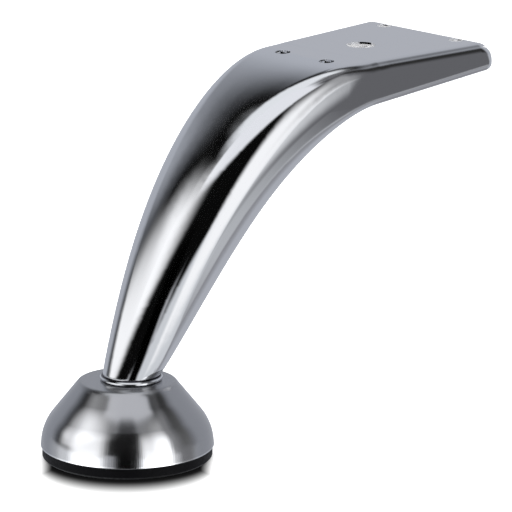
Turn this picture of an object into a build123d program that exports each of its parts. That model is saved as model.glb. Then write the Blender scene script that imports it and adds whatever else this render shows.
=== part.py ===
"""Curved furniture leg.

A tapered steel tube leans forward from a bell-shaped foot, bends over and is pressed flat at the top into a
hollow fixing plate with an open underside. The origin is the middle of the floor pad, +X points to the end of
the plate and +Z is up. Lengths are in millimetres and angles in degrees.
"""
import os
from math import cos, radians, sin

from build123d import *

# Leg
leg_height = 130.0
tube_wall = 1.5
tube_foot_diameter = 20.0
foot_offset = 2.0
tube_flat = 0.2
tube_stations = 16

# Side view: lean of the outer and inner lines at the foot, and the pull of their ends on the curve
outer_lean = 23.1
outer_foot_pull = 29.6
outer_plate_pull = 63.6
inner_lean = 39.0
inner_foot_pull = 42.1
inner_plate_pull = 31.1

# How late along the tube its width, its upper edge and its belly turn from round to flat
width_rate = 0.8
edge_rate = 3.1
belly_rate = 2.2

# How far the outer side of the tube stands out midway, and the share of its length where it is flat again
crown_height = 4.0
crown_end = 0.93

# Fixing plate
plate_root_x = 90.0
plate_length = 66.0
plate_root_width = 50.2
plate_end_width = 61.5
plate_root_depth = 16.8
plate_end_depth = 10.2
plate_nose_radius = 7.0
plate_edge_radius = 4.0
belly_edge_radius = 2.8
plate_neck = 10.0
nose_flat = 0.4

# Open underside of the plate
lip_width = 3.0
mouth_start = 44.0
mouth_corner_radius = 5.0
throat_length = 34.0
throat_width = 34.0

# Holes in the plate, measured from its free end
screw_hole_diameter = 5.5
outer_screw_setback = 8.5
outer_screw_spacing = 36.0
screw_pitch = 60.0
inner_screw_spacing = 22.0
centre_hole_diameter = 10.5
centre_hole_setback = 39.5

# Foot cup
cup_height = 23.5
cup_rim_diameter = 61.0
cup_rim_flare = 0.75
cup_knee_height = 7.6
cup_top_diameter = 34.2
cup_wall = 1.2
cup_knee_round = 18.0
cup_shoulder_bend = 0.4
cup_rim_chamfer = 0.4

# Floor pad
pad_lip_height = 3.9
pad_lip_inset = 0.6
pad_edge_chamfer = 0.8
pad_spigot_height = 3.0
pad_spigot_wall = 2.5
pad_fit = 0.3

# Threaded plug in the foot end of the tube
plug_rim = 1.0
plug_flange = 1.7
plug_chamfer = 0.6
plug_depth = 7.0
plug_fit = 0.1

# Bolt and washer that hold the cup
bolt_diameter = 8.0
bolt_length = 10.0
bolt_head_width = 13.0
bolt_head_height = 5.3
bolt_chamfer = 0.8
thread_fit = 0.1
bolt_clearance = 0.5
washer_diameter = 16.0
washer_thickness = 1.6

# Heights that follow from the stack of the foot
cup_rim_z = pad_lip_height
cup_top_z = cup_rim_z + cup_height
tube_foot_z = cup_top_z + plug_flange
washer_top_z = cup_top_z - cup_wall
bolt_seat_z = washer_top_z - washer_thickness

# Places along the plate
plate_end_x = plate_root_x + plate_length
plate_neck_x = plate_root_x + plate_neck
outer_screw_x = plate_end_x - outer_screw_setback
inner_screw_x = outer_screw_x - screw_pitch
centre_hole_x = plate_end_x - centre_hole_setback


def plate_half_width(x):
    """Half the width of the plate at x."""
    share = (x - plate_root_x) / plate_length
    return (plate_root_width + (plate_end_width - plate_root_width) * share) / 2


def plate_depth(x):
    """Depth of the plate, from its top to its underside, at x."""
    share = (x - plate_root_x) / plate_length
    return plate_root_depth + (plate_end_depth - plate_root_depth) * share


def settle(share, rate):
    """A blend from 0 to 1 that starts late, for a high rate, and ends level."""
    late = share**rate
    return late * late * (3 - 2 * late)


def section(plane, half_width, depth, crown, edge_radius, belly_radius):
    """Draw one section of the tube: the outer side, with its crown, is the sketch's top, the belly its bottom."""
    left_edge = (-half_width, -crown)
    right_edge = (half_width, -crown)
    with BuildSketch(plane) as outline:
        with BuildLine():
            if crown:
                ThreePointArc(left_edge, (0, 0), right_edge)
            else:
                Line(left_edge, right_edge)
            Polyline(right_edge, (half_width, -depth), (-half_width, -depth), left_edge)
        make_face()
        belly_corners = outline.vertices().group_by(Axis.Y)[0]
        fillet(outline.vertices() - belly_corners, edge_radius)
        belly_corners = outline.vertices().group_by(Axis.Y)[0]
        fillet(belly_corners, belly_radius)
    return outline.sketch


def plate_blank(inset):
    """The plate as a closed block with a rounded nose and edges, moved inwards by inset on every side."""
    top_z = leg_height - inset
    end_x = plate_end_x - inset
    root_y = plate_half_width(plate_neck_x) - inset
    end_y = plate_half_width(plate_end_x) - inset
    nose_radius = min(plate_nose_radius, plate_end_depth - belly_edge_radius - nose_flat)
    with BuildPart() as blank:
        with BuildSketch(Plane.XZ) as side_view:
            with BuildLine():
                Polyline(
                    (plate_neck_x, top_z),
                    (end_x, top_z),
                    (end_x, leg_height - plate_depth(end_x) + inset),
                    (plate_neck_x, leg_height - plate_depth(plate_neck_x) + inset),
                    close=True,
                )
            make_face()
            nose = side_view.vertices().group_by(Axis.X)[-1].sort_by(Axis.Y)[-1]
            fillet(nose, nose_radius - inset)
        extrude(amount=end_y, both=True)
        with BuildSketch(Plane.XY.offset(top_z)):
            with BuildLine():
                Polyline(
                    (plate_neck_x, -root_y),
                    (end_x, -end_y),
                    (end_x, end_y),
                    (plate_neck_x, root_y),
                    close=True,
                )
            make_face()
        extrude(amount=-leg_height, mode=Mode.INTERSECT)
        under_face = blank.faces().sort_by(Axis.Z)[0]
        neck_face = blank.faces().sort_by(Axis.X)[0]
        side_faces = blank.faces().sort_by(Axis.Y)
        side_edges = side_faces[0].edges() + side_faces[-1].edges()
        fillet(side_edges - under_face.edges() - neck_face.edges(), plate_edge_radius - inset)
        under_face = blank.faces().sort_by(Axis.Z)[0]
        fillet(under_face.edges().sort_by(Axis.X)[1:], belly_edge_radius - inset)
    return blank.part


def tube_blank(inset, plate):
    """The tube as a closed body from its foot end to the neck of the plate, moved inwards by inset."""
    foot_radius = tube_foot_diameter / 2
    slope = (plate_root_depth - plate_end_depth) / plate_length
    outer_foot = Vector(foot_offset - foot_radius, 0, tube_foot_z)
    inner_foot = Vector(foot_offset + foot_radius, 0, tube_foot_z)
    outer_root = Vector(plate_root_x, 0, leg_height)
    outer_neck = Vector(plate_neck_x, 0, leg_height)
    inner_neck = Vector(plate_neck_x, 0, leg_height - plate_depth(plate_neck_x))
    outer_rise = Vector(sin(radians(outer_lean)), 0, cos(radians(outer_lean)))
    inner_rise = Vector(sin(radians(inner_lean)), 0, cos(radians(inner_lean)))
    with BuildLine(Plane.XZ) as outer_line:
        Bezier(
            outer_foot,
            outer_foot + outer_rise * outer_foot_pull,
            outer_root - Vector(1, 0, 0) * outer_plate_pull,
            outer_root,
        )
        Line(outer_root, outer_neck)
    with BuildLine(Plane.XZ) as inner_line:
        Bezier(
            inner_foot,
            inner_foot + inner_rise * inner_foot_pull,
            inner_neck - Vector(1, 0, slope).normalized() * inner_plate_pull,
            inner_neck,
        )
    sections = []
    for station in range(tube_stations):
        share = station / tube_stations
        outer_point = outer_line.wire() @ share
        inner_point = inner_line.wire() @ share
        outward = (outer_point - inner_point).normalized()
        depth = (outer_point - inner_point).length - 2 * inset
        outside_width = foot_radius + (plate_half_width(plate_neck_x) - foot_radius) * share**width_rate
        half_width = outside_width - inset
        crown_share = min(share / crown_end, 1)
        crown = 16 * crown_height * (crown_share * (1 - crown_share) * half_width / outside_width) ** 2
        full_round = min(half_width, (depth - crown) / 2) - tube_flat
        edge_radius = full_round + (plate_edge_radius - inset - full_round) * settle(share, edge_rate)
        belly_radius = full_round + (belly_edge_radius - inset - full_round) * settle(share, belly_rate)
        plane = Plane(outer_point - outward * inset, (0, 1, 0), Vector(0, 1, 0).cross(outward))
        sections.append(section(plane, half_width, depth, crown, edge_radius, belly_radius))
    # The last section is the plate's own end face
    sections.append(plate.faces().sort_by(Axis.X)[0])
    with BuildPart() as blank:
        loft(sections)
    return blank.part


plate_outside = plate_blank(0)
plate_inside = plate_blank(tube_wall)
tube_outside = tube_blank(0, plate_outside)
tube_inside = tube_blank(tube_wall, plate_inside)

with BuildPart() as leg_shell:
    add(tube_outside)
    add(plate_outside)
    add(tube_inside, mode=Mode.SUBTRACT)
    add(plate_inside, mode=Mode.SUBTRACT)
    # The underside is open: a wide mouth under the plate and a round throat towards the bend
    mouth_x = plate_end_x - mouth_start
    with BuildSketch(Plane.XY.offset(leg_height - plate_end_depth / 2)) as opening:
        with BuildLine():
            Polyline(
                (mouth_x, -plate_half_width(mouth_x) + lip_width),
                (plate_end_x - lip_width, -plate_half_width(plate_end_x) + lip_width),
                (plate_end_x - lip_width, plate_half_width(plate_end_x) - lip_width),
                (mouth_x, plate_half_width(mouth_x) - lip_width),
                close=True,
            )
        make_face()
        fillet(opening.vertices(), mouth_corner_radius)
        with Locations((mouth_x, 0)):
            SlotOverall(2 * throat_length, throat_width)
    extrude(amount=-leg_height / 3, mode=Mode.SUBTRACT)
    with BuildSketch(Plane.XY.offset(leg_height)) as holes:
        with Locations((outer_screw_x, 0)):
            with GridLocations(0, outer_screw_spacing, 1, 2):
                Circle(screw_hole_diameter / 2)
        with Locations((inner_screw_x, 0)):
            with GridLocations(0, inner_screw_spacing, 1, 2):
                Circle(screw_hole_diameter / 2)
        with Locations((centre_hole_x, 0)):
            Circle(centre_hole_diameter / 2)
    extrude(amount=-2 * tube_wall, mode=Mode.SUBTRACT)
leg_shell.part.label = "leg_shell"

plug_core = tube_blank(tube_wall + plug_fit, plate_blank(tube_wall + plug_fit))

with BuildPart() as end_plug:
    add(plug_core)
    with Locations((foot_offset, 0, tube_foot_z)):
        Cylinder(
            tube_foot_diameter,
            plug_depth,
            align=(Align.CENTER, Align.CENTER, Align.MIN),
            mode=Mode.INTERSECT,
        )
    with BuildSketch(Plane.XY.offset(cup_top_z)) as flange:
        with Locations((foot_offset, 0)):
            Circle(tube_foot_diameter / 2 + plug_rim)
    extrude(amount=plug_flange)
    flange_edges = end_plug.edges().filter_by(GeomType.CIRCLE).sort_by(SortBy.RADIUS)[-2:]
    chamfer(flange_edges, plug_chamfer)
    with BuildSketch(Plane.XY.offset(cup_top_z)) as thread:
        with Locations((foot_offset, 0)):
            Circle(bolt_diameter / 2 + thread_fit)
    extrude(amount=plug_flange + plug_depth, mode=Mode.SUBTRACT)
end_plug.part.label = "end_plug"

with BuildPart() as foot_cup:
    with BuildSketch(Plane.XZ) as bell:
        with BuildLine():
            Polyline(
                (0, cup_rim_z),
                (cup_rim_diameter / 2, cup_rim_z),
                (cup_rim_diameter / 2 - cup_rim_flare, cup_rim_z + cup_knee_height),
                (cup_top_diameter / 2, cup_top_z),
                (0, cup_top_z),
                close=True,
            )
        make_face()
        fillet(bell.vertices().group_by(Axis.Y)[1], cup_knee_round)
        fillet(bell.vertices().group_by(Axis.Y)[-1].sort_by(Axis.X)[-1], cup_shoulder_bend + cup_wall)
    revolve(axis=Axis.Z)
    offset(amount=-cup_wall, openings=foot_cup.faces().sort_by(Axis.Z)[0])
    rim_edges = foot_cup.edges().group_by(Axis.Z)[0].sort_by(SortBy.RADIUS)
    chamfer(rim_edges[-1], cup_rim_chamfer)
    with BuildSketch(Plane.XY.offset(cup_top_z)) as bolt_hole:
        with Locations((foot_offset, 0)):
            Circle(bolt_diameter / 2 + bolt_clearance)
    extrude(amount=-2 * cup_wall, mode=Mode.SUBTRACT)
foot_cup.part.label = "foot_cup"

# The pad's spigot follows the lean of the cup's rim
rim_lean = cup_rim_flare / cup_knee_height
pad_lip_radius = cup_rim_diameter / 2 - pad_lip_inset
pad_spigot_radius = cup_rim_diameter / 2 - cup_wall - rim_lean * pad_spigot_height - pad_fit

with BuildPart() as foot_pad:
    with BuildSketch():
        Circle(pad_lip_radius)
    extrude(amount=pad_lip_height)
    chamfer(foot_pad.edges().group_by(Axis.Z)[0], pad_edge_chamfer)
    with BuildSketch(Plane.XY.offset(pad_lip_height)):
        Circle(pad_spigot_radius)
        Circle(pad_spigot_radius - pad_spigot_wall, mode=Mode.SUBTRACT)
    extrude(amount=pad_spigot_height)
foot_pad.part.label = "foot_pad"

with BuildPart() as foot_washer:
    with BuildSketch(Plane.XY.offset(bolt_seat_z)):
        with Locations((foot_offset, 0)):
            Circle(washer_diameter / 2)
            Circle(bolt_diameter / 2 + bolt_clearance, mode=Mode.SUBTRACT)
    extrude(amount=washer_thickness)
foot_washer.part.label = "foot_washer"

with BuildPart() as foot_bolt:
    with BuildSketch(Plane.XY.offset(bolt_seat_z)):
        with Locations((foot_offset, 0)):
            RegularPolygon(bolt_head_width / 2, 6, major_radius=False)
    extrude(amount=-bolt_head_height)
    with BuildSketch(Plane.XY.offset(bolt_seat_z)):
        with Locations((foot_offset, 0)):
            Circle(bolt_diameter / 2)
    extrude(amount=bolt_length)
    chamfer(foot_bolt.edges().group_by(Axis.Z)[-1], bolt_chamfer)
foot_bolt.part.label = "foot_bolt"

os.makedirs("parts", exist_ok=True)
export_step(leg_shell.part, "parts/leg_shell.step")
export_step(end_plug.part, "parts/end_plug.step")
export_step(foot_cup.part, "parts/foot_cup.step")
export_step(foot_pad.part, "parts/foot_pad.step")
export_step(foot_washer.part, "parts/foot_washer.step")
export_step(foot_bolt.part, "parts/foot_bolt.step")
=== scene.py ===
"""Curved furniture leg: finishes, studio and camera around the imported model."""
import math
from typing import NamedTuple

import bpy
from mathutils import Matrix, Vector

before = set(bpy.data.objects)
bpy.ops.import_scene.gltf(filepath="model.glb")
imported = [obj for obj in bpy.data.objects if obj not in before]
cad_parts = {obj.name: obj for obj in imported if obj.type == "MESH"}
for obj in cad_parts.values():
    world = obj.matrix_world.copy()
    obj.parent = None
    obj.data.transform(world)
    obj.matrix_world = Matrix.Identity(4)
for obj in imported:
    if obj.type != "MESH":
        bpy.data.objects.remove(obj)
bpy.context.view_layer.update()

bl_info = {
    "name": "Curved Furniture Leg",
    "version": (1, 0, 0),
    "blender": (4, 5, 0),
    "location": "View3D > Sidebar > Leg",
    "description": "Finishes a chromed furniture leg and sets up its studio",
    "category": "Object",
}

# Lowest and highest roughness of each finish
TUBE_ROUGHNESS = (0.03, 0.07)
RING_ROUGHNESS = (0.05, 0.09)
SATIN_ROUGHNESS = (0.115, 0.14)
PAD_ROUGHNESS = (0.40, 0.55)
ZINC_ROUGHNESS = (0.30, 0.45)

# Finish noise: size of its patches against its waves, and the part of the noise that is used
PATCH_SCALE = 0.35
PATCH_RANGE = (0.3, 0.7)
BEVEL_SAMPLES = 8

# Tube: roughness added to its inner faces, and the widths of the shade painted into the seams at the ring
INSIDE_DULLNESS = 0.40
TUBE_SEAM_SHADE = 0.00035
RING_SEAM_SHADE = 0.0004

# Plate: depths as shares of its wall, then places along it from its root or in from its side
INNER_FACE = 0.8
HALF_WALL = 0.5
BELOW_TOP = 1.1
THROAT_HALF = 0.016
INSIDE_FADE = (-0.008, 0.022)
TOP_START = -0.012
TOP_MARGIN = 0.005
HOLE_WALL_START = 0.010

# Swell of the side walls: two heights, its width at each, and its fade about the plate's root
SWELL_HEIGHTS = (0.060, 0.115)
SWELL_WIDTHS = (0.004, 0.009)
SWELL_FADE = (-0.005, 0.015)

# Cup: the highlight painted on its lip, its duller top, and the stretch, fade, dullness and depth of its
# draw lines
LIP_HIGHLIGHT_FADE = (0.0004, 0.0011)
CUP_TOP_FADE = (0.0006, 0.0001)
CUP_TOP_DULLNESS = 0.12
DRAW_STRETCH = 25.0
DRAW_FADE = (0.6, 1.4)
DRAW_ABOVE = 0.15
DRAW_DULLNESS = 0.05
DRAW_DEPTH = 0.00001

# Pad and hidden fixings
PAD_GLOSS = 0.1
PAD_GRAIN_STRENGTH = 0.35
PAD_GRAIN_DEPTH = 0.00005
ZINC_GRAIN = 0.3

# Stage: the backdrop, the edges of a panel, the heights over which the top light grows, and the floor
WHITE = (1.0, 1.0, 1.0, 1.0)
PANEL_EDGES = ("Left", "Right", "Bottom", "Top")
TOP_LIGHT_HEIGHTS = (25.0, 65.0)
CARD_BOTTOM_SHARE = 0.2
FLOOR_HALF = 4.0

# Shadow painted on the floor close to the pad: its colour and start, and its sides and back as shares of
# the cup's radius
PAINTED_SHADOW_COLOUR = (0.01, 0.01, 0.01)
SHADE_START = 0.001
SHADE_SIDES = (0.84, 1.05)
SHADE_BACK = (-0.2, 0.45)


class LegSizes(bpy.types.PropertyGroup):
    """Sizes of the marks on the surfaces and of the places that are finished apart."""

    polish_grain: bpy.props.FloatProperty(
        name="Polish Grain",
        description="Size of the soft waves that polishing leaves in the plating",
        default=0.006,
        min=0.0005,
        unit="LENGTH",
    )
    plate_root: bpy.props.FloatProperty(
        name="Plate Root",
        description="Distance from the foot's axis to the start of the fixing plate",
        default=0.090,
        unit="LENGTH",
    )
    plate_top: bpy.props.FloatProperty(
        name="Plate Top",
        description="Height of the plate's top above the floor",
        default=0.130,
        unit="LENGTH",
    )
    plate_root_half: bpy.props.FloatProperty(
        name="Plate Half Width",
        description="Half the width of the plate at its start",
        default=0.0251,
        unit="LENGTH",
    )
    plate_root_depth: bpy.props.FloatProperty(
        name="Plate Depth",
        description="Depth of the plate at its start",
        default=0.0168,
        unit="LENGTH",
    )
    plate_spread: bpy.props.FloatProperty(
        name="Plate Spread",
        description="Growth of the plate's half width along its length",
        default=0.0856,
    )
    plate_taper: bpy.props.FloatProperty(
        name="Plate Taper",
        description="Loss of the plate's depth along its length",
        default=0.10,
    )
    edge_wear: bpy.props.FloatProperty(
        name="Edge Wear",
        description="Radius over which polishing evens out the surface and softens its edges",
        default=0.0012,
        min=0.0,
        unit="LENGTH",
    )
    bend_centre: bpy.props.FloatVectorProperty(
        name="Bend Centre",
        description="Centre of the arc that the middle of the side walls follows, seen from the side",
        default=(0.135, -0.0047),
        size=2,
        unit="LENGTH",
    )
    bend_radius: bpy.props.FloatProperty(
        name="Bend Radius",
        description="Radius of that arc",
        default=0.133,
        unit="LENGTH",
    )
    swell: bpy.props.FloatProperty(
        name="Swell",
        description="Height of the swell across the side walls, as a share of their width",
        default=0.058,
        min=0.0,
    )
    wall: bpy.props.FloatProperty(
        name="Wall",
        description="Wall of the tube",
        default=0.0015,
        unit="LENGTH",
    )
    ring_top: bpy.props.FloatProperty(
        name="Ring Top",
        description="Height of the seam between the tube and the ring",
        default=0.0291,
        unit="LENGTH",
    )
    cup_top: bpy.props.FloatProperty(
        name="Cup Top",
        description="Height of the cup's flat top",
        default=0.0274,
        unit="LENGTH",
    )
    cup_rim: bpy.props.FloatProperty(
        name="Cup Rim",
        description="Height of the cup's lower rim",
        default=0.0039,
        unit="LENGTH",
    )
    cup_radius: bpy.props.FloatProperty(
        name="Cup Radius",
        description="Radius of the cup's rim",
        default=0.0305,
        unit="LENGTH",
    )
    draw_line: bpy.props.FloatProperty(
        name="Draw Line",
        description="Width of the upright lines that pressing leaves on the cup",
        default=0.0006,
        min=0.0001,
        unit="LENGTH",
    )
    draw_height: bpy.props.FloatProperty(
        name="Draw Height",
        description="Height on the cup below which the upright lines show",
        default=0.013,
        unit="LENGTH",
    )
    bell_bottom: bpy.props.FloatProperty(
        name="Bell Bottom",
        description="Height at which the soft bend of the cup's side ends",
        default=0.0105,
        unit="LENGTH",
    )
    bell_top: bpy.props.FloatProperty(
        name="Bell Top",
        description="Height at which the soft bend of the cup's side starts",
        default=0.0225,
        unit="LENGTH",
    )
    bell_depth: bpy.props.FloatProperty(
        name="Bell Depth",
        description="Strength of the soft bend of the cup's side",
        default=0.00125,
        precision=5,
        unit="LENGTH",
    )
    shoulder: bpy.props.FloatProperty(
        name="Shoulder",
        description="Soft rounding of the cup's shoulder",
        default=0.003,
        min=0.0,
        unit="LENGTH",
    )
    pad_grain: bpy.props.FloatProperty(
        name="Pad Grain",
        description="Size of the moulded grain of the floor pad",
        default=0.0004,
        min=0.00005,
        unit="LENGTH",
    )


class LegColours(bpy.types.PropertyGroup):
    """Colours of the metal, the plastic and the stage."""

    chrome: bpy.props.FloatVectorProperty(
        name="Chrome",
        description="Colour of the polished plating on the tube and the ring",
        default=(0.80, 0.81, 0.83),
        min=0.0,
        max=1.0,
        size=3,
        subtype="COLOR",
    )
    inside: bpy.props.FloatVectorProperty(
        name="Inside",
        description="Colour of the dull plating inside the tube",
        default=(0.84, 0.84, 0.85),
        min=0.0,
        max=1.0,
        size=3,
        subtype="COLOR",
    )
    # Painted shade: this colour darkens the plating in thin lines at the seams above and below the ring
    seam: bpy.props.FloatVectorProperty(
        name="Seam",
        description="Colour of the shaded seams above and below the ring",
        default=(0.06, 0.06, 0.07),
        min=0.0,
        max=1.0,
        size=3,
        subtype="COLOR",
    )
    satin: bpy.props.FloatVectorProperty(
        name="Satin Chrome",
        description="Colour of the satin plating on the cup",
        default=(0.45, 0.455, 0.47),
        min=0.0,
        max=1.0,
        size=3,
        subtype="COLOR",
    )
    pad: bpy.props.FloatVectorProperty(
        name="Pad",
        description="Colour of the moulded floor pad",
        default=(0.005, 0.005, 0.006),
        min=0.0,
        max=1.0,
        size=3,
        subtype="COLOR",
    )
    zinc: bpy.props.FloatVectorProperty(
        name="Zinc",
        description="Colour of the plated bolt and washer",
        default=(0.55, 0.56, 0.58),
        min=0.0,
        max=1.0,
        size=3,
        subtype="COLOR",
    )
    floor: bpy.props.FloatVectorProperty(
        name="Floor",
        description="Colour of the studio floor",
        default=(0.9, 0.9, 0.9),
        min=0.0,
        max=1.0,
        size=3,
        subtype="COLOR",
    )


class LegStudio(bpy.types.PropertyGroup):
    """Camera and light of the studio."""

    focal_length: bpy.props.FloatProperty(
        name="Focal Length",
        description="Focal length of the camera for a 36 mm frame, in millimetres",
        default=315.84,
        min=1.0,
    )
    azimuth: bpy.props.FloatProperty(
        name="Azimuth",
        description="Turn of the camera round the leg",
        default=math.radians(44.70),
        subtype="ANGLE",
    )
    elevation: bpy.props.FloatProperty(
        name="Elevation",
        description="Height of the camera above the floor, as an angle",
        default=math.radians(14.57),
        subtype="ANGLE",
    )
    roll: bpy.props.FloatProperty(
        name="Roll",
        description="Roll of the camera about its axis",
        default=math.radians(0.12),
        subtype="ANGLE",
    )
    distance: bpy.props.FloatProperty(
        name="Distance",
        description="Distance from the camera to its target",
        default=1.560,
        unit="LENGTH",
    )
    target_right: bpy.props.FloatProperty(
        name="Target Right",
        description="Place of the target, to the right of the foot as the camera sees it",
        default=0.04501,
        unit="LENGTH",
    )
    target_height: bpy.props.FloatProperty(
        name="Target Height",
        description="Height of the target above the floor",
        default=0.07229,
        unit="LENGTH",
    )
    top_light: bpy.props.FloatProperty(
        name="Top Light",
        description="Strength of the soft light from above on the floor and the pad",
        default=2.2,
        min=0.0,
    )
    side_light: bpy.props.FloatProperty(
        name="Side Light",
        description="Strength of the soft light from the sides on the floor and the pad",
        default=0.5,
        min=0.0,
    )
    floor_glow: bpy.props.FloatProperty(
        name="Floor Glow",
        description="Light that the camera adds to the floor to make it white",
        default=0.60,
        min=0.0,
    )
    # The close shadow whose depth is set here is painted on the floor's colour and glow, not cast
    shade_depth: bpy.props.FloatProperty(
        name="Shade Depth",
        description="Depth of the close shadow in front of the pad",
        default=0.024,
        unit="LENGTH",
    )
    cup_light: bpy.props.FloatProperty(
        name="Cup Light",
        description="Strength of the glowing cards that the cup mirrors",
        default=2.2,
        min=0.0,
    )


class StudioPanel(NamedTuple):
    """A soft-edged panel of the studio, in degrees from the camera's side and above the floor."""

    name: str
    turn: tuple
    height: tuple
    side_softness: tuple
    height_softness: tuple
    colour: tuple
    tilt: float = 0.0


STUDIO_DARK = (0.003, 0.003, 0.003)
STUDIO_PANELS = (
    StudioPanel("floor light", (-400, 400), (-100, 2), (5, 5), (5, 7), (0.71, 0.73, 0.76)),
    StudioPanel("floor light in front", (-30, 16), (-100, 9), (14, 14), (5, 5), (0.61, 0.62, 0.65)),
    StudioPanel("floor behind, right", (85, 164), (-100, -20), (12, 30), (5, 10), (0.28, 0.28, 0.30)),
    StudioPanel("ceiling", (-400, 400), (61, 200), (5, 5), (14, 5), (0.90, 0.92, 0.95)),
    StudioPanel("ceiling in front", (-52, 62), (47, 200), (12, 12), (8, 5), (0.92, 0.93, 0.97)),
    StudioPanel("back wall, left", (-400, -116), (-40, 37), (5, 29), (8, 36), (0.46, 0.48, 0.53)),
    StudioPanel("back wall, right", (100, 400), (-40, 48), (34, 5), (8, 17), (0.47, 0.485, 0.53)),
    StudioPanel("dark corner", (67, 110), (51, 73), (20, 20), (10, 14), (0.16, 0.16, 0.17)),
    StudioPanel("left softbox, edge", (-92, -42), (38, 66), (25, 69), (10, 22), (1.20, 1.20, 1.21), 0.27),
    StudioPanel("left softbox", (-103, -77), (10, 22), (16, 25), (10, 25), (1.23, 1.23, 1.24)),
    StudioPanel("right softbox", (43, 74), (-17, 31), (12, 20), (15, 40), (1.12, 1.12, 1.13)),
    StudioPanel("right softbox, fade", (64, 84), (2, 45), (14, 8), (16, 20), (0.38, 0.38, 0.39)),
    StudioPanel("right flag", (76, 101), (-19.5, 43), (8, 14), (10, 20), (0.14, 0.14, 0.15)),
    StudioPanel("right flag, edge", (83, 98), (8, 52), (8, 10), (14, 12), (0.03, 0.03, 0.03)),
)


class CupCard(NamedTuple):
    """An upright card for the cup, with its turn in degrees and its place and size in metres."""

    name: str
    turn: float
    away: float
    half_width: float
    side_softness: float
    bottom: float
    top: float
    top_softness: float
    share: float


CUP_CARDS = (
    CupCard("left card", -52, 0.25, 0.150, 0.100, -0.10, 0.29, 0.25, 1.0),
    CupCard("right card", 40, 0.25, 0.120, 0.055, -0.10, 0.29, 0.25, 1.0),
    CupCard("far left card", -84, 0.25, 0.085, 0.060, -0.10, 0.29, 0.25, 0.20),
    CupCard("far right card", 84, 0.25, 0.085, 0.060, -0.10, 0.29, 0.25, 0.08),
)
DARK_FLAG = CupCard("dark flag", 1, 0.12, 0.042, 0.022, -0.06, 0.160, 0.055, 0.0)


def settings(context):
    """The three property groups of the scene."""
    scene = context.scene
    return scene.leg_sizes, scene.leg_colours, scene.leg_studio


def bare_material(name):
    """An empty node material: the material, its node tree and the input of its surface."""
    material = bpy.data.materials.new(name)
    material.use_nodes = True
    tree = material.node_tree
    tree.nodes.clear()
    return material, tree, tree.nodes.new("ShaderNodeOutputMaterial").inputs["Surface"]


def new_material(name):
    """A node material with one Principled shader."""
    material, tree, surface = bare_material(name)
    shader = tree.nodes.new("ShaderNodeBsdfPrincipled")
    tree.links.new(shader.outputs["BSDF"], surface)
    return material, tree, shader


def new_group(name, inputs, outputs):
    """A shader node group with its inputs, given with their defaults, and its outputs."""
    group = bpy.data.node_groups.new(name, "ShaderNodeTree")
    for label, kind, default in inputs:
        socket = group.interface.new_socket(label, in_out="INPUT", socket_type=kind)
        if default is not None:
            socket.default_value = default
    for label, kind in outputs:
        group.interface.new_socket(label, in_out="OUTPUT", socket_type=kind)
    return group, group.nodes.new("NodeGroupInput"), group.nodes.new("NodeGroupOutput")


def feed(tree, socket, value):
    """Link a socket to an input, or set the input to a number, a vector or a colour."""
    if isinstance(value, bpy.types.NodeSocket):
        tree.links.new(value, socket)
    else:
        socket.default_value = value


def calc(tree, operation, *values):
    """A Math node on sockets and numbers."""
    node = tree.nodes.new("ShaderNodeMath")
    node.operation = operation
    for socket, value in zip(node.inputs, values):
        feed(tree, socket, value)
    return node.outputs[0]


def product(tree, *values):
    """The product of some values."""
    result = values[0]
    for value in values[1:]:
        result = calc(tree, "MULTIPLY", result, value)
    return result


def blend(tree, value, low, high, start, end, smooth=True):
    """A Map Range node from low to high, smooth by default."""
    node = tree.nodes.new("ShaderNodeMapRange")
    node.interpolation_type = "SMOOTHSTEP" if smooth else "LINEAR"
    labels = ("Value", "From Min", "From Max", "To Min", "To Max")
    for label, given in zip(labels, (value, low, high, start, end)):
        feed(tree, node.inputs[label], given)
    return node.outputs["Result"]


def mix_colour(tree, factor, first, second):
    """A Mix node on two colours."""
    node = tree.nodes.new("ShaderNodeMix")
    node.data_type = "RGBA"
    feed(tree, node.inputs["Factor"], factor)
    for socket, value in ((node.inputs["A"], first), (node.inputs["B"], second)):
        feed(tree, socket, value if isinstance(value, bpy.types.NodeSocket) else (*value, 1.0))
    return node.outputs["Result"]


def add_shaders(tree, first, second):
    """Two shaders added up."""
    node = tree.nodes.new("ShaderNodeAddShader")
    tree.links.new(first, node.inputs[0])
    tree.links.new(second, node.inputs[1])
    return node.outputs["Shader"]


def mix_shaders(tree, factor, first, second):
    """The first shader where the factor is nought and the second where it is one."""
    node = tree.nodes.new("ShaderNodeMixShader")
    for socket, value in zip(node.inputs, (factor, first, second)):
        tree.links.new(value, socket)
    return node.outputs["Shader"]


def split_place(tree):
    """Object coordinates, whole and as three values."""
    place = tree.nodes.new("ShaderNodeTexCoord").outputs["Object"]
    split = tree.nodes.new("ShaderNodeSeparateXYZ")
    tree.links.new(place, split.inputs["Vector"])
    return place, split.outputs["X"], split.outputs["Y"], split.outputs["Z"]


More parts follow.
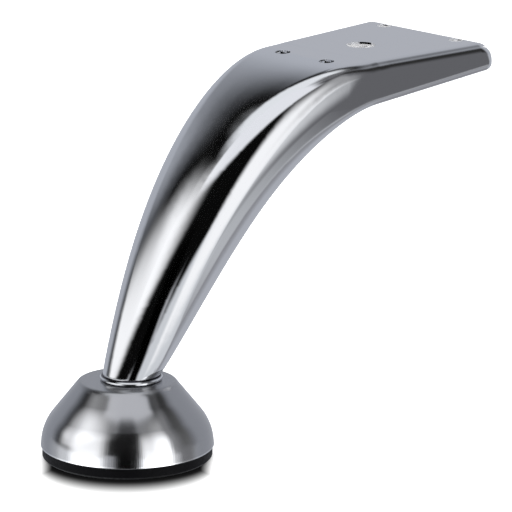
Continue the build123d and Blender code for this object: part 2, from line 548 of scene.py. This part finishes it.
def finish_noise_group():
    """Shared group: noise that varies the polish of a surface, and its small waves."""
    name = "finish noise"
    if name in bpy.data.node_groups:
        return bpy.data.node_groups[name]
    group, entry, leave = new_group(
        name,
        [
            ("Vector", "NodeSocketVector", None),
            ("Grain", "NodeSocketFloat", 0.005),
            ("Low", "NodeSocketFloat", 0.04),
            ("High", "NodeSocketFloat", 0.08),
        ],
        [("Roughness", "NodeSocketFloat"), ("Height", "NodeSocketFloat")],
    )
    scale = calc(group, "DIVIDE", 1.0, entry.outputs["Grain"])
    waves = group.nodes.new("ShaderNodeTexNoise")
    waves.inputs["Detail"].default_value = 1.0
    group.links.new(entry.outputs["Vector"], waves.inputs["Vector"])
    group.links.new(scale, waves.inputs["Scale"])
    patches = group.nodes.new("ShaderNodeTexNoise")
    patches.inputs["Detail"].default_value = 4.0
    group.links.new(entry.outputs["Vector"], patches.inputs["Vector"])
    group.links.new(calc(group, "MULTIPLY", scale, PATCH_SCALE), patches.inputs["Scale"])
    low, high = entry.outputs["Low"], entry.outputs["High"]
    rough = blend(group, patches.outputs["Fac"], *PATCH_RANGE, low, high)
    group.links.new(rough, leave.inputs["Roughness"])
    group.links.new(waves.outputs["Fac"], leave.inputs["Height"])
    return group


def seam_shade_group():
    """Shared group: a mask for the thin shade painted at a height where two pieces meet."""
    name = "seam shade"
    if name in bpy.data.node_groups:
        return bpy.data.node_groups[name]
    group, entry, leave = new_group(
        name,
        [
            ("Height", "NodeSocketFloat", 0.0),
            ("Seam", "NodeSocketFloat", 0.0),
            ("Width", "NodeSocketFloat", 0.0003),
        ],
        [("Mask", "NodeSocketFloat")],
    )
    above = calc(group, "SUBTRACT", entry.outputs["Height"], entry.outputs["Seam"])
    away = calc(group, "ABSOLUTE", above)
    mask = blend(group, away, 0.0, entry.outputs["Width"], 1.0, 0.0)
    group.links.new(mask, leave.inputs["Mask"])
    return group


def soft_edge_group():
    """Shared group: the normal, evened out over a radius."""
    name = "soft edges"
    if name in bpy.data.node_groups:
        return bpy.data.node_groups[name]
    group, entry, leave = new_group(
        name, [("Radius", "NodeSocketFloat", 0.001)], [("Normal", "NodeSocketVector")]
    )
    bevel = group.nodes.new("ShaderNodeBevel")
    bevel.samples = BEVEL_SAMPLES
    group.links.new(entry.outputs["Radius"], bevel.inputs["Radius"])
    group.links.new(bevel.outputs["Normal"], leave.inputs["Normal"])
    return group


def place_group(tree, group, **values):
    """Place a group in a node tree, with its inputs linked or set by name."""
    node = tree.nodes.new("ShaderNodeGroup")
    node.node_tree = group
    for label, value in values.items():
        feed(tree, node.inputs[label], value)
    return node


def finish_noise(tree, place, grain, roughness):
    """The finish noise with its grain and its lowest and highest roughness."""
    low, high = roughness
    return place_group(tree, finish_noise_group(), Vector=place, Grain=grain, Low=low, High=high)


def seam_shade_mask(tree, height, seam, width):
    """The mask of the shade painted at one seam."""
    node = place_group(tree, seam_shade_group(), Height=height, Seam=seam, Width=width)
    return node.outputs["Mask"]


def soft_edges(tree, radius):
    """The normal, evened out over a radius that may change over the surface."""
    return place_group(tree, soft_edge_group(), Radius=radius).outputs["Normal"]


def add_bump(tree, height, shader, strength=1.0, distance=1.0, normal=None):
    """Feed a height to the shader's normal through a Bump node, over another normal if one is given."""
    bump = tree.nodes.new("ShaderNodeBump")
    bump.inputs["Strength"].default_value = strength
    bump.inputs["Distance"].default_value = distance
    tree.links.new(height, bump.inputs["Height"])
    if normal is not None:
        tree.links.new(normal, bump.inputs["Normal"])
    tree.links.new(bump.outputs["Normal"], shader.inputs["Normal"])


def plate_masks(tree, sizes, x, y, z):
    """Masks for the plate's dull inner faces and hole walls, and for its flat top with the holes."""
    along = calc(tree, "SUBTRACT", x, sizes.plate_root)
    aside = calc(tree, "ABSOLUTE", y)
    half = calc(tree, "MULTIPLY_ADD", along, sizes.plate_spread, sizes.plate_root_half)
    root_under = sizes.plate_top - sizes.plate_root_depth
    under = calc(tree, "MULTIPLY_ADD", along, sizes.plate_taper, root_under)
    inner_half = calc(tree, "SUBTRACT", half, INNER_FACE * sizes.wall)
    throat_half = calc(tree, "ADD", along, THROAT_HALF)
    inside = product(
        tree,
        calc(tree, "LESS_THAN", aside, calc(tree, "MINIMUM", inner_half, throat_half)),
        calc(tree, "LESS_THAN", z, sizes.plate_top - INNER_FACE * sizes.wall),
        calc(tree, "GREATER_THAN", z, calc(tree, "ADD", under, HALF_WALL * sizes.wall)),
        blend(tree, along, *INSIDE_FADE, 0.0, 1.0),
    )
    flat_top = product(
        tree,
        calc(tree, "LESS_THAN", aside, calc(tree, "SUBTRACT", half, TOP_MARGIN)),
        calc(tree, "GREATER_THAN", z, sizes.plate_top - BELOW_TOP * sizes.wall),
        calc(tree, "GREATER_THAN", along, TOP_START),
    )
    hole_walls = product(
        tree,
        flat_top,
        calc(tree, "LESS_THAN", z, sizes.plate_top - HALF_WALL * sizes.wall),
        calc(tree, "GREATER_THAN", along, HOLE_WALL_START),
    )
    return calc(tree, "MAXIMUM", inside, hole_walls), flat_top


def wall_swell(tree, sizes, x, z):
    """Height of a low swell whose outer half makes the tube's side walls look round."""
    run = calc(tree, "SUBTRACT", x, sizes.bend_centre[0])
    rise = calc(tree, "SUBTRACT", z, sizes.bend_centre[1])
    squares = calc(tree, "ADD", product(tree, run, run), product(tree, rise, rise))
    across = calc(tree, "SUBTRACT", calc(tree, "SQRT", squares), sizes.bend_radius)
    width = blend(tree, z, *SWELL_HEIGHTS, *SWELL_WIDTHS, smooth=False)
    share = calc(tree, "MAXIMUM", calc(tree, "DIVIDE", across, width), 0.0)
    fall = calc(tree, "SUBTRACT", 1.0, product(tree, share, share))
    hump = calc(tree, "MAXIMUM", fall, 0.0)
    start, end = (sizes.plate_root + step for step in SWELL_FADE)
    fade = blend(tree, x, start, end, sizes.swell, 0.0)
    return product(tree, hump, hump, width, fade)


def chrome_material(sizes, colours):
    """Polished chrome of the tube: mirror bright outside, dull inside, with shade painted at the seam
    above the ring.
    """
    material, tree, shader = new_material("polished chrome")
    place, x, y, z = split_place(tree)
    noise = finish_noise(tree, place, sizes.polish_grain, TUBE_ROUGHNESS)
    dull, flat_top = plate_masks(tree, sizes, x, y, z)
    # Painted shade: a thin dark line in the colour at the seam between the tube and the ring
    seam = seam_shade_mask(tree, z, sizes.ring_top, TUBE_SEAM_SHADE)
    plating = mix_colour(tree, dull, colours.chrome, colours.inside)
    tree.links.new(mix_colour(tree, seam, plating, colours.seam), shader.inputs["Base Color"])
    tree.links.new(calc(tree, "SUBTRACT", 1.0, dull), shader.inputs["Metallic"])
    rough = calc(tree, "MULTIPLY_ADD", dull, INSIDE_DULLNESS, noise.outputs["Roughness"])
    tree.links.new(rough, shader.inputs["Roughness"])
    polished = calc(tree, "SUBTRACT", 1.0, calc(tree, "MAXIMUM", flat_top, dull))
    normal = soft_edges(tree, calc(tree, "MULTIPLY", polished, sizes.edge_wear))
    add_bump(tree, wall_swell(tree, sizes, x, z), shader, normal=normal)
    return material


def ring_material(sizes, colours):
    """Polished chrome of the ring, with shade painted at the seams with the tube and the cup."""
    material, tree, shader = new_material("polished ring")
    place, _, _, z = split_place(tree)
    shader.inputs["Metallic"].default_value = 1.0
    noise = finish_noise(tree, place, sizes.polish_grain, RING_ROUGHNESS)
    # Painted shade: thin dark lines in the colour at the seams with the tube and the cup
    upper = seam_shade_mask(tree, z, sizes.ring_top, RING_SEAM_SHADE)
    lower = seam_shade_mask(tree, z, sizes.cup_top, RING_SEAM_SHADE)
    seam_shades = calc(tree, "MAXIMUM", upper, lower)
    tree.links.new(mix_colour(tree, seam_shades, colours.chrome, colours.seam), shader.inputs["Base Color"])
    tree.links.new(noise.outputs["Roughness"], shader.inputs["Roughness"])
    return material


def draw_marks(tree, sizes, x, y, z):
    """The fine upright lines that pressing leaves on the cup, strongest low down."""
    turn = calc(tree, "ARCTAN2", y, x)
    joined = tree.nodes.new("ShaderNodeCombineXYZ")
    around = calc(tree, "MULTIPLY", turn, sizes.cup_radius / sizes.draw_line)
    tree.links.new(around, joined.inputs["X"])
    tree.links.new(calc(tree, "MULTIPLY", z, DRAW_STRETCH), joined.inputs["Y"])
    lines = tree.nodes.new("ShaderNodeTexNoise")
    lines.noise_dimensions = "2D"
    lines.inputs["Scale"].default_value = 1.0
    lines.inputs["Detail"].default_value = 3.0
    tree.links.new(joined.outputs["Vector"], lines.inputs["Vector"])
    low, high = (share * sizes.draw_height for share in DRAW_FADE)
    return product(tree, lines.outputs["Fac"], blend(tree, z, low, high, 1.0, DRAW_ABOVE))


def satin_material(sizes, colours):
    """Satin chrome of the cup: softer, with upright draw lines on its skirt and a highlight painted on
    its lip.
    """
    material, tree, shader = new_material("satin chrome")
    place, x, y, z = split_place(tree)
    # Painted highlight: a thin band above the rim takes the brighter chrome colour
    highlight_start, highlight_end = (sizes.cup_rim + rise for rise in LIP_HIGHLIGHT_FADE)
    lip_highlight = blend(tree, z, highlight_start, highlight_end, 1.0, 0.0)
    tree.links.new(mix_colour(tree, lip_highlight, colours.satin, colours.chrome), shader.inputs["Base Color"])
    shader.inputs["Metallic"].default_value = 1.0
    noise = finish_noise(tree, place, sizes.polish_grain, SATIN_ROUGHNESS)
    marks = draw_marks(tree, sizes, x, y, z)
    top_start, top_end = (sizes.cup_top - depth for depth in CUP_TOP_FADE)
    on_top = blend(tree, z, top_start, top_end, 0.0, CUP_TOP_DULLNESS)
    rough = calc(tree, "ADD", noise.outputs["Roughness"], on_top)
    tree.links.new(calc(tree, "MULTIPLY_ADD", marks, DRAW_DULLNESS, rough), shader.inputs["Roughness"])
    bell = blend(tree, z, sizes.bell_bottom, sizes.bell_top, 0.0, sizes.bell_depth)
    height = calc(tree, "MULTIPLY_ADD", marks, DRAW_DEPTH, bell)
    rounding = blend(tree, z, sizes.bell_bottom, sizes.bell_top, 0.0, sizes.shoulder)
    add_bump(tree, height, shader, normal=soft_edges(tree, rounding))
    return material


def pad_material(sizes, colours):
    """Black moulded plastic with a fine grain."""
    material, tree, shader = new_material("black pad")
    place, _, _, _ = split_place(tree)
    shader.inputs["Base Color"].default_value = (*colours.pad, 1.0)
    shader.inputs["Specular IOR Level"].default_value = PAD_GLOSS
    noise = finish_noise(tree, place, sizes.pad_grain, PAD_ROUGHNESS)
    tree.links.new(noise.outputs["Roughness"], shader.inputs["Roughness"])
    add_bump(tree, noise.outputs["Height"], shader, PAD_GRAIN_STRENGTH, PAD_GRAIN_DEPTH)
    return material


def zinc_material(sizes, colours):
    """Zinc plating of the hidden bolt and washer."""
    material, tree, shader = new_material("zinc plating")
    place, _, _, _ = split_place(tree)
    shader.inputs["Base Color"].default_value = (*colours.zinc, 1.0)
    shader.inputs["Metallic"].default_value = 1.0
    noise = finish_noise(tree, place, ZINC_GRAIN * sizes.polish_grain, ZINC_ROUGHNESS)
    tree.links.new(noise.outputs["Roughness"], shader.inputs["Roughness"])
    return material


def dress(node_name, material):
    """Give a node of the model its finish."""
    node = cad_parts[node_name]
    node.data.materials.clear()
    node.data.materials.append(material)


class LEG_OT_tube(bpy.types.Operator):
    """Finish the bent tube, its fixing plate and the ring in polished chrome"""

    bl_idname = "leg.tube"
    bl_label = "Tube and Ring"

    def execute(self, context):
        sizes, colours, _ = settings(context)
        dress("leg_shell", chrome_material(sizes, colours))
        dress("end_plug", ring_material(sizes, colours))
        return {"FINISHED"}


class LEG_OT_foot(bpy.types.Operator):
    """Finish the cup in satin chrome and its pad in black plastic"""

    bl_idname = "leg.foot"
    bl_label = "Cup and Pad"

    def execute(self, context):
        sizes, colours, _ = settings(context)
        dress("foot_cup", satin_material(sizes, colours))
        dress("foot_pad", pad_material(sizes, colours))
        return {"FINISHED"}


class LEG_OT_fixings(bpy.types.Operator):
    """Finish the bolt and washer inside the cup"""

    bl_idname = "leg.fixings"
    bl_label = "Bolt and Washer"

    def execute(self, context):
        sizes, colours, _ = settings(context)
        material = zinc_material(sizes, colours)
        dress("foot_bolt", material)
        dress("foot_washer", material)
        return {"FINISHED"}


def camera_sides(studio):
    """Level directions from the foot towards the camera and to the camera's right."""
    towards = Vector((-math.sin(studio.azimuth), -math.cos(studio.azimuth), 0.0))
    right = Vector((math.cos(studio.azimuth), -math.sin(studio.azimuth), 0.0))
    return towards, right


def along_camera(tree, vector, studio):
    """A vector's lengths towards the camera and to the camera's right."""
    lengths = []
    for axis in camera_sides(studio):
        dot = tree.nodes.new("ShaderNodeVectorMath")
        dot.operation = "DOT_PRODUCT"
        tree.links.new(vector, dot.inputs[0])
        dot.inputs[1].default_value = axis
        lengths.append(dot.outputs["Value"])
    return lengths


def panel_group():
    """Group for the surroundings: the mask of a soft-edged panel between two turns and two heights."""
    group, entry, leave = new_group(
        "studio panel",
        [(label, "NodeSocketFloat", 0.0) for label in ("Turn", "Height", "Tilt")]
        + [(edge, "NodeSocketFloat", 0.0) for edge in PANEL_EDGES]
        + [(edge + " Softness", "NodeSocketFloat", 5.0) for edge in PANEL_EDGES],
        [("Mask", "NodeSocketFloat")],
    )
    leaned = calc(group, "MULTIPLY", entry.outputs["Turn"], entry.outputs["Tilt"])
    level = calc(group, "SUBTRACT", entry.outputs["Height"], leaned)
    masks = []
    for edge in PANEL_EDGES:
        angle = entry.outputs["Turn"] if edge in ("Left", "Right") else level
        half = calc(group, "MULTIPLY", entry.outputs[edge + " Softness"], 0.5)
        below = calc(group, "SUBTRACT", entry.outputs[edge], half)
        above = calc(group, "ADD", entry.outputs[edge], half)
        start, end = (0.0, 1.0) if edge in ("Left", "Bottom") else (1.0, 0.0)
        masks.append(blend(group, angle, below, above, start, end))
    group.links.new(product(group, *masks), leave.inputs["Mask"])
    return group


def studio_angles(tree, studio):
    """Turn from the camera's side and height above the floor of a direction, in degrees."""
    direction = tree.nodes.new("ShaderNodeTexCoord").outputs["Generated"]
    forward, aside = along_camera(tree, direction, studio)
    turn = calc(tree, "DEGREES", calc(tree, "ARCTAN2", aside, forward))
    split = tree.nodes.new("ShaderNodeSeparateXYZ")
    tree.links.new(direction, split.inputs["Vector"])
    return turn, calc(tree, "DEGREES", calc(tree, "ARCSINE", split.outputs["Z"]))


def studio_colour(tree, turn, height):
    """The studio as the metal sees it: panels laid one over the other on the dark."""
    group = panel_group()
    colour = STUDIO_DARK
    for panel in STUDIO_PANELS:
        node = place_group(tree, group, Turn=turn, Height=height, Tilt=panel.tilt)
        node.label = panel.name
        limits = panel.turn + panel.height
        softness = panel.side_softness + panel.height_softness
        for edge, limit, soft in zip(PANEL_EDGES, limits, softness):
            node.inputs[edge].default_value = limit
            node.inputs[edge + " Softness"].default_value = soft
        colour = mix_colour(tree, node.outputs["Mask"], colour, panel.colour)
    return colour


def background(tree, colour, strength):
    """A Background shader with its colour and strength."""
    node = tree.nodes.new("ShaderNodeBackground")
    feed(tree, node.inputs["Color"], colour)
    feed(tree, node.inputs["Strength"], strength)
    return node.outputs["Background"]


def build_world(studio):
    """The studio that the metal mirrors, a soft light from above for the rest, and a white backdrop."""
    world = bpy.data.worlds.new("studio")
    bpy.context.scene.world = world
    world.use_nodes = True
    tree = world.node_tree
    tree.nodes.clear()
    output = tree.nodes.new("ShaderNodeOutputWorld")
    turn, height = studio_angles(tree, studio)
    mirrored = background(tree, studio_colour(tree, turn, height), 1.0)
    strength = blend(tree, height, *TOP_LIGHT_HEIGHTS, studio.side_light, studio.top_light)
    soft = background(tree, WHITE, strength)
    path = tree.nodes.new("ShaderNodeLightPath")
    light = mix_shaders(tree, path.outputs["Is Glossy Ray"], soft, mirrored)
    backdrop = background(tree, WHITE, 1.0)
    seen = mix_shaders(tree, path.outputs["Is Camera Ray"], light, backdrop)
    tree.links.new(seen, output.inputs["Surface"])


def painted_floor_shadow(tree, sizes, studio):
    """A mask for the floor: nought in the shadow painted close to the pad, one elsewhere."""
    place, _, _, _ = split_place(tree)
    forward, aside = along_camera(tree, place, studio)
    radius = sizes.cup_radius
    inside = calc(tree, "SUBTRACT", radius**2, product(tree, aside, aside))
    rim = calc(tree, "SQRT", calc(tree, "MAXIMUM", inside, 0.0))
    past_rim = calc(tree, "SUBTRACT", forward, rim)
    ahead = blend(tree, past_rim, SHADE_START, studio.shade_depth, 0.0, 1.0)
    side_start, side_end = (share * radius for share in SHADE_SIDES)
    beside = blend(tree, calc(tree, "ABSOLUTE", aside), side_start, side_end, 0.0, 1.0)
    back_start, back_end = (share * radius for share in SHADE_BACK)
    behind = blend(tree, forward, back_start, back_end, 1.0, 0.0)
    return calc(tree, "MAXIMUM", calc(tree, "MAXIMUM", ahead, beside), behind)


def build_floor(sizes, colours, studio):
    """A wide pale floor that keeps real shadows and has a shadow painted close to the pad, is white
    elsewhere and is clear from below.
    """
    corners = [(FLOOR_HALF * x, FLOOR_HALF * y, 0.0) for x, y in ((-1, -1), (1, -1), (1, 1), (-1, 1))]
    mesh = bpy.data.meshes.new("floor")
    mesh.from_pydata(corners, [], [(0, 1, 2, 3)])
    floor = bpy.data.objects.new("floor", mesh)
    bpy.context.scene.collection.objects.link(floor)
    material, tree, surface = bare_material("pale floor")
    # Painted shadow: in front of and beside the pad the floor's colour goes dark and its glow fades
    outside_painted_shadow = painted_floor_shadow(tree, sizes, studio)
    paint = tree.nodes.new("ShaderNodeBsdfDiffuse")
    tree.links.new(mix_colour(tree, outside_painted_shadow, PAINTED_SHADOW_COLOUR, colours.floor), paint.inputs["Color"])
    glow = tree.nodes.new("ShaderNodeEmission")
    path = tree.nodes.new("ShaderNodeLightPath")
    strength = product(tree, path.outputs["Is Camera Ray"], studio.floor_glow, outside_painted_shadow)
    tree.links.new(strength, glow.inputs["Strength"])
    top = add_shaders(tree, paint.outputs["BSDF"], glow.outputs["Emission"])
    underneath = tree.nodes.new("ShaderNodeBsdfTransparent").outputs["BSDF"]
    backfacing = tree.nodes.new("ShaderNodeNewGeometry").outputs["Backfacing"]
    tree.links.new(mix_shaders(tree, backfacing, top, underneath), surface)
    mesh.materials.append(material)
    floor.visible_glossy = False


def stand_card(plan, studio, material):
    """An upright card round the foot, facing it, that only metal sees."""
    mesh = bpy.data.meshes.new(plan.name)
    half, bottom, top = plan.half_width, plan.bottom, plan.top
    corners = [(-half, 0.0, bottom), (half, 0.0, bottom), (half, 0.0, top), (-half, 0.0, top)]
    mesh.from_pydata(corners, [], [(0, 1, 2, 3)])
    mesh.materials.append(material)
    card = bpy.data.objects.new(plan.name, mesh)
    bpy.context.scene.collection.objects.link(card)
    towards, right = camera_sides(studio)
    turn = math.radians(plan.turn)
    facing = towards * math.cos(turn) + right * math.sin(turn)
    aside = right * math.cos(turn) - towards * math.sin(turn)
    upright = Matrix((aside, facing, Vector((0.0, 0.0, 1.0)))).transposed().to_4x4()
    card.matrix_world = Matrix.Translation(facing * plan.away) @ upright
    card.visible_camera = False
    card.visible_diffuse = False
    card.visible_shadow = False
    return card


def card_material(plan):
    """An unfinished card: its material, tree and surface, a clear shader, and a mask with soft edges."""
    material, tree, surface = bare_material(plan.name)
    material.cycles.emission_sampling = "NONE"
    clear = tree.nodes.new("ShaderNodeBsdfTransparent").outputs["BSDF"]
    _, x, _, z = split_place(tree)
    flat_half = plan.half_width - plan.side_softness
    sides = blend(tree, calc(tree, "ABSOLUTE", x), flat_half, plan.half_width, 1.0, 0.0)
    bottom_softness = CARD_BOTTOM_SHARE * plan.top_softness
    low = blend(tree, z, plan.bottom, plan.bottom + bottom_softness, 0.0, 1.0)
    high = blend(tree, z, plan.top - plan.top_softness, plan.top, 1.0, 0.0)
    return material, tree, surface, clear, product(tree, sides, low, high)


def build_cup_cards(studio):
    """Glowing cards that only the cup mirrors, and a dark flag in front of the foot."""
    cup_only = bpy.data.collections.new("cup light")
    cup_only.objects.link(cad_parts["foot_cup"])
    for plan in CUP_CARDS:
        material, tree, surface, clear, mask = card_material(plan)
        glow = tree.nodes.new("ShaderNodeEmission")
        strength = calc(tree, "MULTIPLY", mask, plan.share * studio.cup_light)
        tree.links.new(strength, glow.inputs["Strength"])
        tree.links.new(add_shaders(tree, clear, glow.outputs["Emission"]), surface)
        card = stand_card(plan, studio, material)
        card.light_linking.receiver_collection = cup_only
    material, tree, surface, clear, mask = card_material(DARK_FLAG)
    black = tree.nodes.new("ShaderNodeBsdfDiffuse")
    black.inputs["Color"].default_value = (0.0, 0.0, 0.0, 1.0)
    tree.links.new(mix_shaders(tree, mask, clear, black.outputs["BSDF"]), surface)
    stand_card(DARK_FLAG, studio, material)


def build_camera(studio):
    """The camera at the photograph's angle."""
    towards, right = camera_sides(studio)
    back = towards * math.cos(studio.elevation) + Vector((0.0, 0.0, math.sin(studio.elevation)))
    up = back.cross(right)
    turned_right = right * math.cos(studio.roll) + up * math.sin(studio.roll)
    turned_up = up * math.cos(studio.roll) - right * math.sin(studio.roll)
    target = right * studio.target_right + Vector((0.0, 0.0, studio.target_height))
    camera = bpy.data.objects.new("camera", bpy.data.cameras.new("camera"))
    bpy.context.scene.collection.objects.link(camera)
    camera.data.sensor_fit = "HORIZONTAL"
    camera.data.sensor_width = 36.0
    camera.data.lens = studio.focal_length
    camera.data.clip_end = 20.0
    turned = Matrix((turned_right, turned_up, back)).transposed().to_4x4()
    camera.matrix_world = Matrix.Translation(target + back * studio.distance) @ turned
    bpy.context.scene.camera = camera


class LEG_OT_stage(bpy.types.Operator):
    """Set up the floor, the surroundings, the cards for the cup and the camera"""

    bl_idname = "leg.stage"
    bl_label = "Stage"

    def execute(self, context):
        sizes, colours, studio = settings(context)
        build_world(studio)
        build_floor(sizes, colours, studio)
        build_cup_cards(studio)
        build_camera(studio)
        context.scene.view_settings.view_transform = "Standard"
        return {"FINISHED"}


class LEG_PT_panel(bpy.types.Panel):
    """Lists the steps that finish the leg"""

    bl_idname = "LEG_PT_panel"
    bl_label = "Curved Leg"
    bl_space_type = "VIEW_3D"
    bl_region_type = "UI"
    bl_category = "Leg"

    def draw(self, context):
        layout = self.layout
        for operator in OPERATORS:
            layout.operator(operator.bl_idname)
        for group in settings(context):
            box = layout.box()
            for name in group.__annotations__:
                box.prop(group, name)


GROUPS = (LegSizes, LegColours, LegStudio)
OPERATORS = (LEG_OT_tube, LEG_OT_foot, LEG_OT_fixings, LEG_OT_stage)
CLASSES = GROUPS + OPERATORS + (LEG_PT_panel,)


def register():
    """Register the classes and hang the properties on the scene."""
    for item in CLASSES:
        bpy.utils.register_class(item)
    bpy.types.Scene.leg_sizes = bpy.props.PointerProperty(type=LegSizes)
    bpy.types.Scene.leg_colours = bpy.props.PointerProperty(type=LegColours)
    bpy.types.Scene.leg_studio = bpy.props.PointerProperty(type=LegStudio)


def unregister():
    """Take the properties and classes away again."""
    del bpy.types.Scene.leg_studio
    del bpy.types.Scene.leg_colours
    del bpy.types.Scene.leg_sizes
    for item in reversed(CLASSES):
        bpy.utils.unregister_class(item)


def main():
    """Finish the leg and set the stage."""
    register()
    bpy.ops.leg.tube()
    bpy.ops.leg.foot()
    bpy.ops.leg.fixings()
    bpy.ops.leg.stage()


if __name__ == "__main__":
    main()
